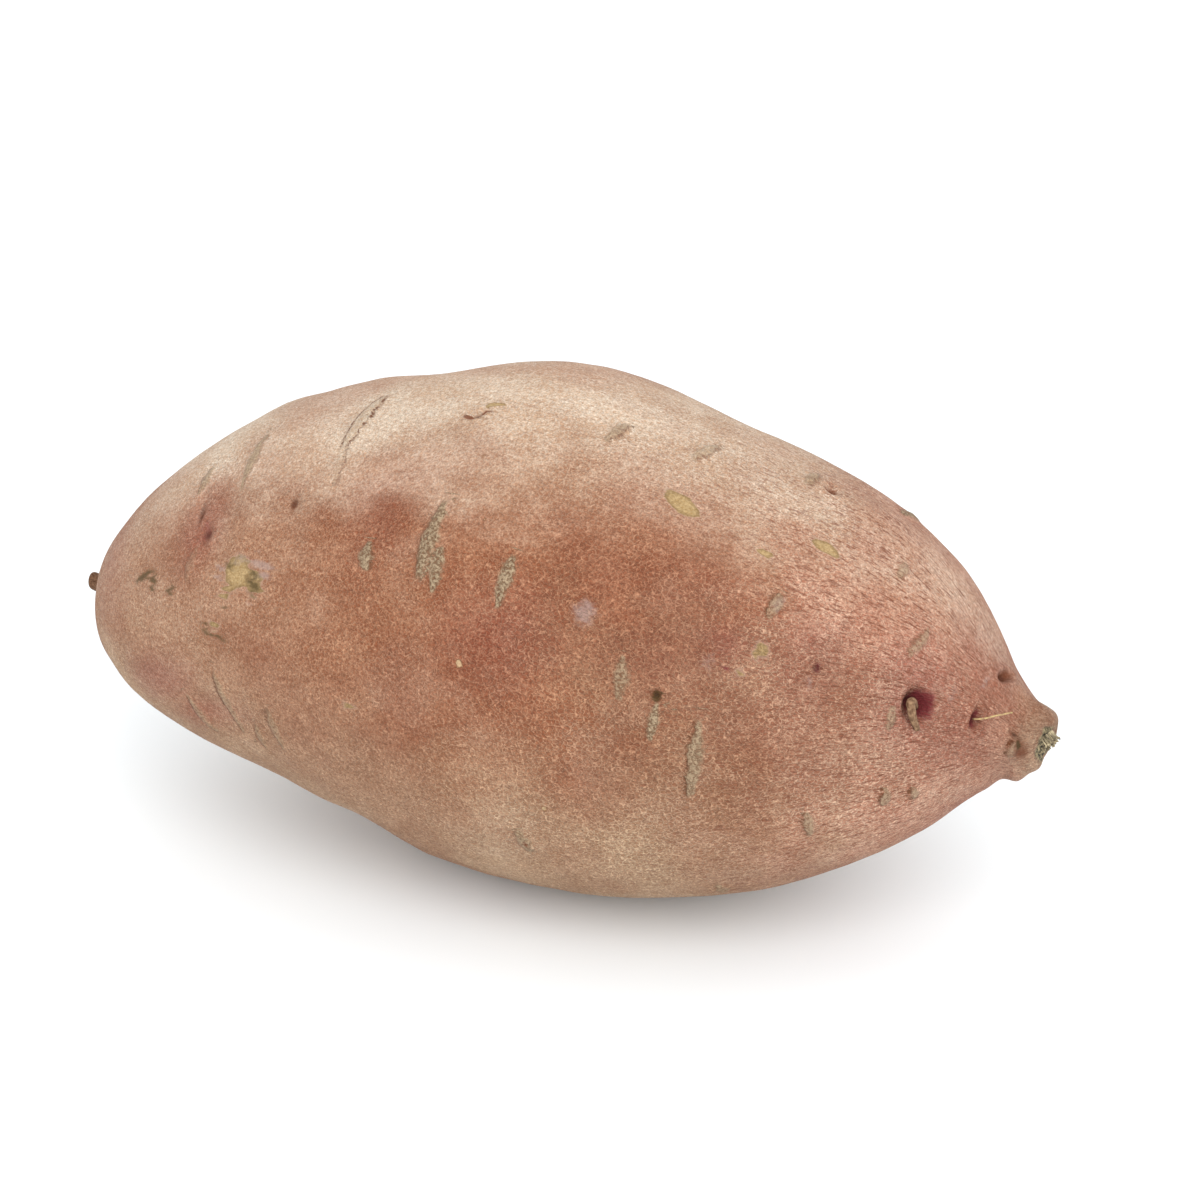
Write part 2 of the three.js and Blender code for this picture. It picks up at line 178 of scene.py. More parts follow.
def placeIn(along, angle, lean, points):
    # lengthwise, sideways and above, in the frame of a mark
    here, crownwards, around, outwards = frameAt(along, angle)
    turn = math.radians(lean)
    offset = points - here
    toCrown, toRound = offset @ crownwards, offset @ around
    lengthwise = toRound * math.cos(turn) + toCrown * math.sin(turn)
    sideways = toCrown * math.cos(turn) - toRound * math.sin(turn)
    return lengthwise, sideways, offset @ outwards


class Draw:
    # the same small seeded draw as the solid's source
    def __init__(self, seed):
        self.seed = seed

    def between(self, low, high):
        self.seed = self.seed * 16807 % 2147483647
        return low + (high - low) * self.seed / 2147483647


def farRidges():
    draw = Draw(form["farSeed"])
    spans = form["farRidgeSpans"]
    return [tuple(draw.between(*span) for span in spans) for _ in range(form["farRidgeCount"])]


allRidges = form["nearRidges"] + farRidges()

# How a ridge looks: how corky it is, the dark line of painted shadow beside it (1 crownwards, -1 tipwards,
# 2 on both sides), and how pale it is
ridgeLooks = [
    (0.15, 2, 1), (0.05, 0.6, 0.8), (0.55, 0.45, 0.9), (0.45, -0.5, 0.6), (0.1, -0.4, 1), (0.8, 0.8, 0.5),
    (0.35, -1, 0.5), (0.35, -1, 0.7), (0.3, -0.7, 0.6), (0.3, -0.7, 0.6), (0.4, 0.8, 0.6), (0.35, 0.7, 0.9),
    (0.9, -0.6, 0.2), (0.7, 0.3, 0.3), (0.9, 0.4, 0.2), (0.5, 0, 0.2), (0.7, -0.3, 0.4), (0.6, -1, 0.6),
    (0.55, -0.5, 0.4), (0.4, -0.8, 0.6), (0.4, -0.6, 0.8), (0.45, -0.5, 0.6), (0.4, 0.5, 0.7),
    (0.4, 0.6, 0.6), (0.5, -1, 0.7), (0.5, -1, 0.7), (0.5, -0.8, 0.7), (0.3, -1, 1), (0.5, -0.6, 0.4),
]
farLooks = [(0.8, -0.6, 0.2), (0.5, 1, 0.5), (0.35, 2, 0.6), (0.6, -0.8, 0.4)]

# stands for the place of a point that is near no ridge
farAway = 9.0


def ridgeLevels(points):
    # how far each point stands on a ridge, the height that the ridges add, and for the nearest ridge
    # the place across and along it with its width, and its look
    cover, height, nearest = np.zeros(len(points)), np.zeros(len(points)), np.full(len(points), farAway)
    place, look = np.tile([farAway, farAway, 1.0], (len(points), 1)), np.zeros((len(points), 3))
    for i, (along, angle, long, wide, high, lean) in enumerate(allRidges):
        lengthwise, sideways, above = placeIn(along, angle, lean, points)
        near = np.abs(above) < form["markReach"]
        toEnd = np.clip(2 * lengthwise / long, -1, 1) ** 2
        ridge = bell(toEnd) * bell(sideways / (wide * (1 - form["ridgeTaper"] * toEnd))) * near
        height += high * ridge
        cover = np.maximum(cover, ridge)
        away = np.maximum(np.abs(2 * lengthwise / long), np.abs(sideways) / wide)
        away = np.where(near, away, farAway)
        closer = away < nearest
        nearest = np.where(closer, away, nearest)
        here = np.stack([sideways, 2 * lengthwise / long, np.full(len(points), wide)], axis=1)
        place = np.where(closer[:, None], here, place)
        looks = ridgeLooks[i] if i < len(ridgeLooks) else farLooks[i % len(farLooks)]
        look = np.where(closer[:, None], looks, look)
    # well outside every ridge, points count as past its end
    place[:, 1] = np.where(nearest > form["ridgeLookReach"], farAway, place[:, 1])
    return cover, height, place, look


def eyeLevels(points):
    depth, height = np.zeros(len(points)), np.zeros(len(points))
    for along, angle, wide, long, deep, lean in form["eyes"]:
        lengthwise, sideways, above = placeIn(along, angle, lean, points)
        away = np.hypot(lengthwise / long, sideways / wide) * 2 / form["eyeSpread"]
        near = np.abs(above) < form["markReach"]
        pit = bell(away) * near
        rim = bell((away - form["lipAt"]) / form["lipReach"]) * near
        depth = np.maximum(depth, pit)
        height += deep * (form["lipShare"] * rim - pit)
    return depth, height


def swellHeight(points):
    height = np.zeros(len(points))
    for along, angle, reachAlong, reachRound, high in form["swells"]:
        lengthwise, sideways, above = placeIn(along, angle, 0, points)
        near = np.abs(above) < form["markReach"]
        height += high * bell(np.hypot(lengthwise / reachRound, sideways / reachAlong)) * near
    return height


# Stains and scars: along, angle, reach along, reach round, lean, strength
stains = {
    "blush": [
        (61.5, 65, 10, 11, 0, 1), (66, 80, 9, 7, 0, 0.7), (36, 58.5, 5, 4, 0, 0.8), (48, 58, 7, 8, 0, 0.7),
        (-52.5, 48, 6, 9, -8, 0.75), (-58.7, 104, 11, 6, 25, 0.8), (-50, 112, 12, 4, 20, 0.7),
        (-20, 45, 8, 12, 0, 0.25), (3, 66, 12, 9, 0, 0.35), (68, 20, 8, 8, 0, 0.4), (71, 12, 4, 4, 0, 0.6),
        (30, 66, 12, 8, 0, 0.35), (-72, 40, 8, 14, 0, 0.45), (-40, 236, 10, 12, 0, 0.8),
        (50, 250, 10, 10, 0, 0.8), (10, 225, 12, 10, 0, 0.4), (-15, 285, 14, 9, 0, 0.5),
        (66, 180, 9, 12, 0, 0.6),
    ],
    "magenta": [
        (63, 66, 2.6, 3, 0, 1), (69.3, 66.4, 0.9, 2.2, 0, 0.9), (-52.2, 49.5, 1.5, 3, -8, 0.5),
        (48.7, 60, 0.9, 1.2, 0, 0.7), (36.8, 63.5, 0.8, 0.9, 0, 0.8), (71.6, 12, 0.9, 1.6, -20, 0.3),
        (-44, 236, 1.8, 2.2, 10, 0.8), (53, 250, 1.7, 2, -10, 0.8), (35, 59.2, 0.9, 0.9, 0, 0.6),
    ],
    "yellow": [
        (-43, 63, 2.6, 3, 20, 1), (-44.5, 69, 1.3, 1.5, 0, 0.7), (-39.4, 65, 1.4, 3.4, 12, 0.7),
        (24.8, 26.7, 1.6, 3.6, 64, 1), (45.9, 23.8, 1.2, 2.8, 76, 0.9), (40.6, 57.7, 1.9, 2, 0, 0.5),
        (38.2, 32.4, 0.9, 1.2, 0, 0.8), (-46.5, 79, 1.2, 1.6, 0, 0.5), (-8, 13.7, 0.8, 2, 141, 0.9),
        (38.6, 64.5, 1.2, 1.6, 0, 0.3), (-21, 90.2, 1.2, 2, 64, 0.5), (-5, 300, 1.6, 3.2, 30, 0.8),
        (34, 238, 1.8, 2.4, 0, 0.8),
    ],
    "olive": [
        (-39.6, 65.8, 1.4, 3.4, 12, 1), (-44.6, 61, 1.9, 1.4, 0, 0.75), (-44.9, 72.9, 0.9, 0.9, 0, 0.8),
        (-62.4, 62.8, 1, 3.4, 111, 1), (-60, 66, 1, 2.6, -10, 1), (-56.1, 68.6, 1.1, 1.7, -43, 1),
        (-48, 80.5, 1, 1.8, 20, 0.9), (-45, 82.5, 1, 1.7, 80, 0.85), (75.2, 73, 0.7, 1, 0, 1),
        (27.4, 72.9, 1, 1.1, 0, 1), (24.8, 27.8, 0.4, 1.6, 64, 0.6), (38.6, 31, 0.4, 1, 0, 0.6),
        (1.5, 300, 0.6, 2.4, 30, 0.7),
    ],
    "rust": [
        (-11.1, 18, 1.1, 1.1, 0, 1), (-9, 16.6, 0.8, 1.5, 130, 1), (42.9, -0.8, 1.3, 1.8, 40, 0.8),
        (20.3, 46.9, 0.5, 1.2, 0, 0.7), (75.6, 82, 2.2, 3, 0, 0.75), (74.2, 68, 1.8, 3, 0, 0.5),
        (-35.7, 43.3, 1.2, 1.4, 0, 0.8), (-35.7, 43.3, 3, 3.4, 0, 0.3), (-53.5, 44, 0.9, 4.5, -6, 0.6),
        (71.6, 12, 1.3, 2.6, -20, 0.9), (7.2, 116.5, 0.7, 1.2, 0, 0.7),
        (1, 127, 0.5, 0.6, 0, 0.9), (59, 8, 1, 1.4, 0, 0.6), (-33, 165, 1.2, 1.4, 0, 0.8),
        (40, 196, 1.2, 1.4, 0, 0.8), (6, 226, 1.2, 1.6, 0, 0.8), (-12, 284, 1.2, 1.5, 0, 0.8),
        (30, 300, 1, 1.4, 0, 0.8), (-58, 300, 1, 1.5, 0, 0.8),
    ],
    "lilac": [
        (-43, 59.5, 1.6, 1.6, 0, 0.9), (-46.5, 63, 1.2, 3.4, 0, 0.8), (-37.6, 62, 1.2, 3, 0, 0.9),
        (15.6, 57.7, 2.4, 3.2, 0, 0.9), (-39.6, 60.5, 1.2, 3, 15, 0.9), (-40, 70, 1.1, 1.6, 0, 0.6),
        (34, 63, 2, 2.4, 0, 0.5), (41.8, 45, 1, 2.2, -12, 0.8), (-16, 46, 1.2, 4, 0, 0.3),
        (48, 64.9, 1, 2, 0, 0.5), (66, 58, 1.2, 2.4, 0, 0.6), (69.6, 36, 0.9, 2.6, -20, 0.7),
        (10, 250, 2, 3, 0, 0.7),
    ],
}


# how far out a stain fades, as a share of its reach
stainSpread = 1.3


def stainLevel(points, spots):
    level = np.zeros(len(points))
    for along, angle, reachAlong, reachRound, lean, strength in spots:
        lengthwise, sideways, above = placeIn(along, angle, lean, points)
        near = np.abs(above) < form["markReach"]
        away = np.hypot(lengthwise / (stainSpread * reachRound), sideways / (stainSpread * reachAlong))
        level = np.maximum(level, strength * bell(away) * near)
    return level


def grain(points, size, offset):
    # smooth noise over a real size, near -1 to 1
    shift = Vector((offset, 0, 0))
    return np.array([noise.noise(Vector(point) / size + shift) for point in points])


def layered(points, layers):
    return sum(weight * grain(points, size, offset) for weight, size, offset in layers)


# The skin: how fine its mesh is, and the low relief that only shows close by.
# Each noise is a weight, a size in millimetres and an offset, which keeps it unlike the others.
skin = {
    "ballSubdivisions": 7,
    "nearMark": 0.8,
    "waves": [(0.22, 17, 0), (0.1, 6, 11), (0.045, 2.4, 22)],
    "corkRoughness": 0.14,
    "corkGrain": [(1, 0.8, 50), (0.6, 0.35, 60)],
    "stemBreak": (80.5, -7.9, 36.7),
    "stemBreakReach": 3.1,
    "stemBreakRim": 0.75,
    "stemBreakRagged": [(0.8, 1.6, 70)],
    "stemBreakRoughness": 0.5,
    "stemBreakHollow": 0.35,
    # the stains' outlines bend by this much, and combed lines lie at this distance from the root's axis
    "stainBend": 0.5,
    "stainGrain": [(1.3, 80), (1.3, 89), (1.3, 98)],
    "combRadius": 36,
}

# The skin's uneven tones: the ragged edges of the regions, patches of dust, dust everywhere, and redness
uneven = {
    "ragged": [(9, 11, 120), (7, 4, 130), (3, 1.6, 140)],
    "dustyPatches": [(1, 13, 150), (0.5, 3, 160)],
    "dust": [(1, 8, 170), (0.6, 3, 180), (0.3, 1.5, 190)],
    "patchy": [(1, 20, 200), (0.3, 6, 210)],
}


def onSkin(directions):
    share = np.arccos(np.clip(-directions[:, 0], -1, 1)) / math.pi
    angle = np.arctan2(-directions[:, 1], directions[:, 2])
    return skinPoint(share, angle), share, angle


def markedPlaces(points, ridges, eyes):
    marked = np.zeros(len(points), bool)
    margin = skin["nearMark"]
    for along, angle, long, wide, _, lean in ridges:
        lengthwise, sideways, above = placeIn(along, angle, lean, points)
        inside = (np.abs(lengthwise) < long / 2 + margin) & (np.abs(sideways) < wide + margin)
        marked |= inside & (np.abs(above) < form["markReach"])
    for along, angle, wide, long, _, lean in eyes:
        lengthwise, sideways, above = placeIn(along, angle, lean, points)
        away = np.hypot(lengthwise / (long + margin), sideways / (wide + margin))
        marked |= (away < 1) & (np.abs(above) < form["markReach"])
    return marked


def directionsOf(bm):
    return np.array([vert.co[:] for vert in bm.verts])


def skinRegions(points, along, turn):
    # broad tones of the skin: each region's share, with ragged edges, from degrees round and the place along
    ragged = layered(points, uneven["ragged"])
    edge, ring = turn + ragged, along + ragged
    # the top is paler: partly dust, partly painted light falling from above
    dustyLitTop = smoothStep(44, 6, edge - 14 * smoothStep(10, -40, ring)) * smoothStep(-86, -58, ring)
    dustyLitTop = dustyLitTop * (1 - 0.5 * smoothStep(-5, 60, ring))
    dustyPatches = 0.1 * smoothStep(0, 0.5, layered(points, uneven["dustyPatches"]))
    # darker on the near side of the crown half
    darkerNearSide = smoothStep(6, 24, ring) * smoothStep(74, 50, ring)
    browned = smoothStep(26, 52, edge) * smoothStep(-66, -14, ring)
    netted = 0.55 + 0.5 * smoothStep(-60, 10, ring) * smoothStep(30, 70, edge)
    return {
        "dustAndTopLight": np.maximum(dustyLitTop, dustyPatches),
        "brown": browned * (1 - 0.8 * smoothStep(44, 68, ring)),
        "ochre": smoothStep(76, 120, edge) * (1 - smoothStep(26, 68, ring)),
        "rosy": smoothStep(30, 58, ring),
        "darkerNearSide": darkerNearSide * smoothStep(44, 62, edge) * smoothStep(118, 88, edge),
        "neck": smoothStep(73, 76.5, along + 0.15 * ragged),
        "tip": smoothStep(-79.2, -80.2, along),
        "dust": smoothStep(-0.5, 0.5, layered(points, uneven["dust"])),
        "patchy": smoothStep(-0.4, 0.4, layered(points, uneven["patchy"])),
        "drawn": smoothStep(-30, 25, along),
        "wrinkled": 0.25 + 0.75 * smoothStep(10, 62, along),
        "net": np.clip(netted + 0.02 * ragged, 0, 1),
    }


def makeSkin():
    bm = bmesh.new()
    bmesh.ops.create_icosphere(bm, subdivisions=skin["ballSubdivisions"], radius=1)
    # the mesh is split once round every mark, and once more round those that face the camera
    rounds = [(allRidges, form["eyes"]), (form["nearRidges"], form["eyes"][:form["nearEyeCount"]])]
    for ridges, eyes in rounds:
        marked = markedPlaces(onSkin(directionsOf(bm))[0], ridges, eyes)
        edges = [edge for edge in bm.edges if marked[edge.verts[0].index] and marked[edge.verts[1].index]]
        bmesh.ops.subdivide_edges(bm, edges=edges, cuts=1, use_grid_fill=True)
        bm.verts.index_update()
        for vert in bm.verts:
            vert.co.normalize()
    bmesh.ops.triangulate(bm, faces=bm.faces[:])
    bm.verts.index_update()
    directions = directionsOf(bm)
    points, share, angle = onSkin(directions)
    for vert, point in zip(bm.verts, points):
        vert.co = point
    bm.normal_update()
    normals = np.array([vert.normal[:] for vert in bm.verts])

    cork, ridgeHeight, ridgePlace, ridgeLook = ridgeLevels(points)
    pits, eyeHeight = eyeLevels(points)
    height = ridgeHeight + eyeHeight + swellHeight(points) + layered(points, skin["waves"])
    rough = layered(points, skin["corkGrain"])
    height += skin["corkRoughness"] * rough * cork * ridgeLook[:, 0]
    toBreak = np.linalg.norm(points - np.array(skin["stemBreak"]), axis=1)
    toBreak += layered(points, skin["stemBreakRagged"])
    broken = 1 - smoothStep(skin["stemBreakRim"], 1, toBreak / skin["stemBreakReach"])
    height += broken * (skin["stemBreakRoughness"] * rough - skin["stemBreakHollow"])
    points = points + normals * height[:, None]
    points[:, 2] = np.maximum(points[:, 2], 0)

    mesh = bpy.data.meshes.new("storage_root")
    bm.to_mesh(mesh)
    bm.free()
    mesh.vertices.foreach_set("co", (points * mm).ravel())
    mesh.update()
    mesh.polygons.foreach_set("use_smooth", [True] * len(mesh.polygons))

    along = alongCurve(sectionPoints, share)[:, 0]
    turn = np.degrees(np.abs(angle))
    levels = skinRegions(points, along, turn)
    levels.update({"pit": pits, "broken": broken})
    bends = [grain(points, size, offset) for size, offset in skin["stainGrain"]]
    warped = points + skin["stainBend"] * np.stack(bends, axis=1)
    for name, spots in stains.items():
        levels[name] = stainLevel(warped, spots)
    for name, values in levels.items():
        mesh.attributes.new(name, "FLOAT", "POINT").data.foreach_set("value", values.astype(np.float32))
    # an unrolled place, whose lines run along the root and close up towards its ends
    radius = skin["combRadius"]
    combed = np.stack([along, radius * np.cos(angle), radius * np.sin(angle)], axis=1)
    for name, vectors in (("combed", combed), ("ridgePlace", ridgePlace), ("ridgeLook", ridgeLook)):
        mesh.attributes.new(name, "FLOAT_VECTOR", "POINT").data.foreach_set(
            "vector", vectors.astype(np.float32).ravel())
    root = bpy.data.objects.new("storage_root", mesh)
    bpy.context.scene.collection.objects.link(root)
    print("skin", len(mesh.polygons), "faces")
    return root


# Dried roots: the thick rootlet that curls out of the largest eye, and hairs out of smaller ones.
# Each path is places on the skin with heights above it: along, angle, height.
dried = {
    "rootlet": [(63, 68.5, -2.6), (61.6, 65.6, -0.4), (60.8, 66, 0.7), (61, 69, 0.9), (61.5, 73, 0.5),
                (62.3, 77.5, 0.2)],
    "rootletThickness": 1.3,
    "rootletTaper": (0.7, 1, 1.05, 1, 0.9, 0.6),
    "hairs": [
        [(69.2, 67, -0.6), (69.6, 66, 0.7), (71, 59, 1.5), (72.6, 50, 1.9)],
        [(-44, 236, -0.8), (-44.5, 238, 0.6), (-46, 243, 1), (-49, 247, 0.7)],
        [(53, 250, -0.8), (53.4, 251, 0.6), (55, 256, 1.2), (57.5, 260, 0.8)],
        [(6, 226, -0.6), (6.5, 227, 0.5), (8.5, 230, 0.8)],
    ],
    "hairThickness": 0.26,
    "stemFibres": 46,
    "stemFibreSeed": 5,
    "stemFibreThickness": 0.24,
    "stemFibreLength": (0.1, 0.8),
    "stemFibreBend": (-0.35, 0.35),
    # which way the broken end faces, its half width and half height, how deep the fibres start, and how far
    # they run before they spread
    "stemFacing": (1, -0.45, -0.75),
    "stemHalfSize": (1.3, 2.2),
    "stemFibreFoot": 1.3,
    "stemFibreOut": 1.1,
}


def tubeAlong(name, paths, thickness, taper=None):
    curve = bpy.data.curves.new(name, "CURVE")
    curve.dimensions = "3D"
    curve.bevel_depth = thickness / 2 * mm
    curve.bevel_resolution = 3
    curve.resolution_u = 6
    curve.use_fill_caps = True
    for path in paths:
        spline = curve.splines.new("NURBS")
        spline.points.add(len(path) - 1)
        spline.order_u = 3
        spline.use_endpoint_u = True
        for i, point in enumerate(path):
            spline.points[i].co = (*(Vector(point) * mm), 1)
            spline.points[i].radius = taper[i] if taper else 1
    holder = bpy.data.objects.new(name, curve)
    bpy.context.scene.collection.objects.link(holder)
    mesh = bpy.data.meshes.new_from_object(holder.evaluated_get(bpy.context.evaluated_depsgraph_get()))
    bpy.data.objects.remove(holder)
    bm = bmesh.new()
    bm.from_mesh(mesh)
    bmesh.ops.remove_doubles(bm, verts=bm.verts, dist=1e-6)
    bmesh.ops.recalc_face_normals(bm, faces=bm.faces)
    bm.to_mesh(mesh)
    bm.free()
    mesh.polygons.foreach_set("use_smooth", [True] * len(mesh.polygons))
    tube = bpy.data.objects.new(name, mesh)
    bpy.context.scene.collection.objects.link(tube)
    print(name, len(mesh.polygons), "faces")
    return tube


def overSkin(path):
    points = []
    for along, angle, lift in path:
        here, _, _, outwards = frameAt(along, angle)
        points.append(here + lift * outwards)
    return points


def stemFibrePaths():
    draw = Draw(dried["stemFibreSeed"])
    centre = np.array(skin["stemBreak"])
    outwards = unit(np.array(dried["stemFacing"]))
    side = unit(np.cross(outwards, [0, 0, 1]))
    up = np.cross(side, outwards)
    halfWide, halfHigh = dried["stemHalfSize"]
    out = dried["stemFibreOut"]
    paths = []
    for _ in range(dried["stemFibres"]):
        turn, away = draw.between(0, 2 * math.pi), math.sqrt(draw.between(0, 1))
        foot = centre + away * (halfWide * math.cos(turn) * side + halfHigh * math.sin(turn) * up)
        foot = foot - dried["stemFibreFoot"] * outwards
        bend = draw.between(*dried["stemFibreBend"]) * side + draw.between(*dried["stemFibreBend"]) * up
        long = draw.between(*dried["stemFibreLength"])
        paths.append([foot, foot + out * outwards, foot + (out + long / 2) * outwards + 0.3 * bend,
                      foot + (out + long) * outwards + bend])
    return paths


# Materials. Colours are sRGB, and pattern sizes are real millimetres.
def linear(hexColour):
    parts = [int(hexColour[i:i + 2], 16) / 255 for i in (1, 3, 5)]
    return [part / 12.92 if part <= 0.04045 else ((part + 0.055) / 1.055) ** 2.4 for part in parts] + [1]


def newMaterial(name):
    material = bpy.data.materials.new(name)
    material.use_nodes = True
    material.node_tree.nodes.clear()
    return material


# Sockets without a name of their own go by number. MapRange has its value, the range it comes from and the
# range it goes to in 0 to 4. Math has its terms in 0 to 2. Mix has its share in 0, and its values in 2 and 3
# or its colours in 6 and 7.
def add(tree, kind, inputs=None, output=0, **settings):
    # one node: inputs by name or number are values, sRGB text or other nodes' outputs
    node = tree.nodes.new("ShaderNode" + kind)
    for name, value in settings.items():
        setattr(node, name, value)
    for key, value in (inputs or {}).items():
        if isinstance(value, bpy.types.NodeSocket):
            tree.links.new(value, node.inputs[key])
        else:
            node.inputs[key].default_value = linear(value) if isinstance(value, str) else value
    return node.outputs[output] if len(node.outputs) else node


skinLook = {
    # the skin between the net, and the net itself
    "tan": ("#90664b", "#bb9a80"),
    # the same in each region, and how far its tones go over the others
    "regions": {
        "brown": ("#7b462b", "#af7f60", 0.95), "rosy": ("#a16b54", "#d5af96", 0.95),
        # the dusty top's tones are partly dust and partly painted light from above
        "ochre": ("#937257", "#c6a98b", 0.95), "dustAndTopLight": ("#b8997e", "#e1d5c3", 0.95),
        "blush": ("#84413a", "#a8766a", 0.6), "neck": ("#9d7358", "#d3b699", 0.95),
        # darker tones on the near side of the crown half
        "tip": ("#553722", "#8a6a50", 0.95), "darkerNearSide": ("#6e4a34", "#99775c", 0.45),
    },
    # millimetres, detail and roughness of each noise
    "noises": {
        "mottle": (3.2, 3, 0.6), "ragged": (2.2, 1, 0.5), "fine": (0.6, 2, 0.6), "finest": (0.28, 1, 0.5),
        "scabs": (0.45, 2, 0.65),
    },
    # the net: size of its cells, how much its lines wander and at what size, and their edges in cells
    "netSize": 0.5,
    "netBend": 0.8,
    "netBendSize": 1.1,
    "netStretch": 0.65,
    "netLine": (0.15, 0.02),
    "fleckSize": 6.5,
    "fleckReach": 0.12,
    "wrinkleSize": 0.42,
    "wrinkleStretch": 0.3,
    "reliefDepth": 0.22,
    # shares of redness that patches add, and lightness that the finest grain gives
    "patchRedness": 0.35,
    "grainLightness": (0.7, 1.26),
    # tones of the marks
    "patch": "#c9927c",
    # dark dashes in the wrinkle valleys, partly the skin's own and partly painted shade
    "creaseDashesAndShade": "#6e3c28",
    "fleck": "#c9ad86",
    "fleckEdge": "#6e4526",
    "magenta": "#6c1d26",
    "cork": "#8a7456",
    "corkPale": "#ad987d",
    "corkDark": "#523d29",
    # painted shadow beside the ridges
    "ridgeShadow": "#6b4128",
    "yellow": "#937848",
    "yellowPale": "#b09669",
    "scarEdge": "#644a2a",
    "halo": "#b99d8a",
    "olive": "#4e3d20",
    "rust": "#6f3a1f",
    "lilac": "#a08c86",
    "pitShade": "#3a2018",
    # painted shade in the eye pits
    "break": "#4f4a3e",
    "breakPale": "#c2b08a",
}


def makeSkinMaterial():
    # raw sweet potato skin, unwashed and dry: matt and dusty, a fine pale net over red-brown
    look = skinLook
    material = newMaterial("dusty sweet potato skin")
    tree = material.node_tree
    inMetres = add(tree, "TexCoord", output="Object")
    place = add(tree, "VectorMath", {0: inMetres, 1: (1000, 1000, 1000)}, operation="MULTIPLY")
    combed = add(tree, "Attribute", output="Vector", attribute_name="combed")
    level = {}
    regions = [name for name in look["regions"] if name not in stains]
    for name in ("pit", "broken", "drawn", "wrinkled", "net", "dust", "patchy", *regions, *stains):
        level[name] = add(tree, "Attribute", output="Fac", attribute_name=name)
    rough = {}
    for name, (size, detail, roughness) in look["noises"].items():
        rough[name] = add(tree, "TexNoise", {"Vector": place, "Scale": 1 / size, "Detail": detail,
                                             "Roughness": roughness})

    # the net: edges of bent cells, round at the root tip and drawn out along the root towards the crown
    wander = add(tree, "TexNoise", {"Vector": place, "Scale": 1 / look["netBendSize"], "Detail": 2}, "Color")
    edges = []
    bend = (look["netBend"],) * 3
    for start, stretch in ((place, 1), (combed, look["netStretch"])):
        bent = add(tree, "VectorMath", {0: wander, 1: bend, 2: start}, operation="MULTIPLY_ADD")
        cells = add(tree, "VectorMath", {0: bent, 1: (stretch, 1, 1)}, operation="MULTIPLY")
        inputs = {"Vector": cells, "Scale": 1 / look["netSize"], "Randomness": 1}
        edges.append(add(tree, "TexVoronoi", inputs, feature="DISTANCE_TO_EDGE"))
    edge = add(tree, "Mix", {0: level["drawn"], 2: edges[0], 3: edges[1]})
    lineFrom, lineTo = look["netLine"]
    net = add(tree, "MapRange", {0: edge, 1: lineFrom, 2: lineTo}, interpolation_type="SMOOTHSTEP")
    netted = add(tree, "Math", {0: net, 1: level["net"]}, operation="MULTIPLY")
    speckle = add(tree, "MapRange", {0: rough["fine"], 1: 0.3, 2: 0.7, 3: -0.15, 4: 0.45})
    pale = add(tree, "Math", {0: netted, 1: 0.75, 2: speckle}, operation="MULTIPLY_ADD")
    dusted = add(tree, "MapRange", {0: level["dust"], 1: 0, 2: 1, 3: -0.1, 4: 0.14})
    pale = add(tree, "Math", {0: pale, 1: dusted}, operation="ADD", use_clamp=True)

    under, over = look["tan"]
    for name, (dark, light, most) in look["regions"].items():
        share = add(tree, "MapRange", {0: level[name], 1: 0, 2: 1, 3: 0, 4: most})
        under = add(tree, "Mix", {0: share, 6: under, 7: dark}, 2, data_type="RGBA")
        over = add(tree, "Mix", {0: share, 6: over, 7: light}, 2, data_type="RGBA")
    colour = add(tree, "Mix", {0: pale, 6: under, 7: over}, 2, data_type="RGBA")

    # larger patches a little redder, and the finest grain lighter and darker
    patchy = add(tree, "MapRange", {0: level["patchy"], 1: 0, 2: 1, 3: 0, 4: look["patchRedness"]})
    colour = add(tree, "Mix", {0: patchy, 6: colour, 7: look["patch"]}, 2, data_type="RGBA",
                 blend_type="MULTIPLY")
    darkest, lightest = look["grainLightness"]
    grainy = add(tree, "MapRange", {0: rough["finest"], 1: 0.25, 2: 0.75, 3: darkest, 4: lightest})
    colour = add(tree, "VectorMath", {0: colour, 3: grainy}, operation="SCALE")

    # wrinkles combed along the root, closing up at the crown
    stretched = (look["wrinkleStretch"], 1, 1)
    wrinklePlace = add(tree, "VectorMath", {0: combed, 1: stretched}, operation="MULTIPLY")
    wrinkles = add(tree, "TexNoise", {"Vector": wrinklePlace, "Scale": 1 / look["wrinkleSize"], "Detail": 3,
                                      "Roughness": 0.6, "Distortion": 0.6})
    # the wrinkle valleys are darkened: partly the skin's dark dashes, partly painted shade
    creaseDashesAndShade = add(tree, "MapRange", {0: wrinkles, 1: 0.48, 2: 0.36, 3: 0, 4: 0.85})
    creaseDashesAndShade = add(tree, "Math", {0: creaseDashesAndShade, 1: level["wrinkled"]}, operation="MULTIPLY")

    # small loose flecks of skin, each with a brown edge
    flecks = add(tree, "TexVoronoi", {"Vector": place, "Scale": 1 / look["fleckSize"], "Randomness": 1})
    chosen = flecks.node.outputs["Color"]
    reach = add(tree, "MapRange", {0: chosen, 1: 0.55, 2: 1, 3: 0, 4: look["fleckReach"]})
    away = add(tree, "Math", {0: rough["fine"], 1: 0.16, 2: flecks}, operation="MULTIPLY_ADD")
    past = add(tree, "Math", {0: reach, 1: away}, operation="SUBTRACT")
    fleck = add(tree, "MapRange", {0: past, 1: -0.06, 2: -0.03, 3: 0, 4: 0.7})
    fleckEdge = add(tree, "MapRange", {0: past, 1: -0.085, 2: -0.06, 3: 0, 4: 0.6})

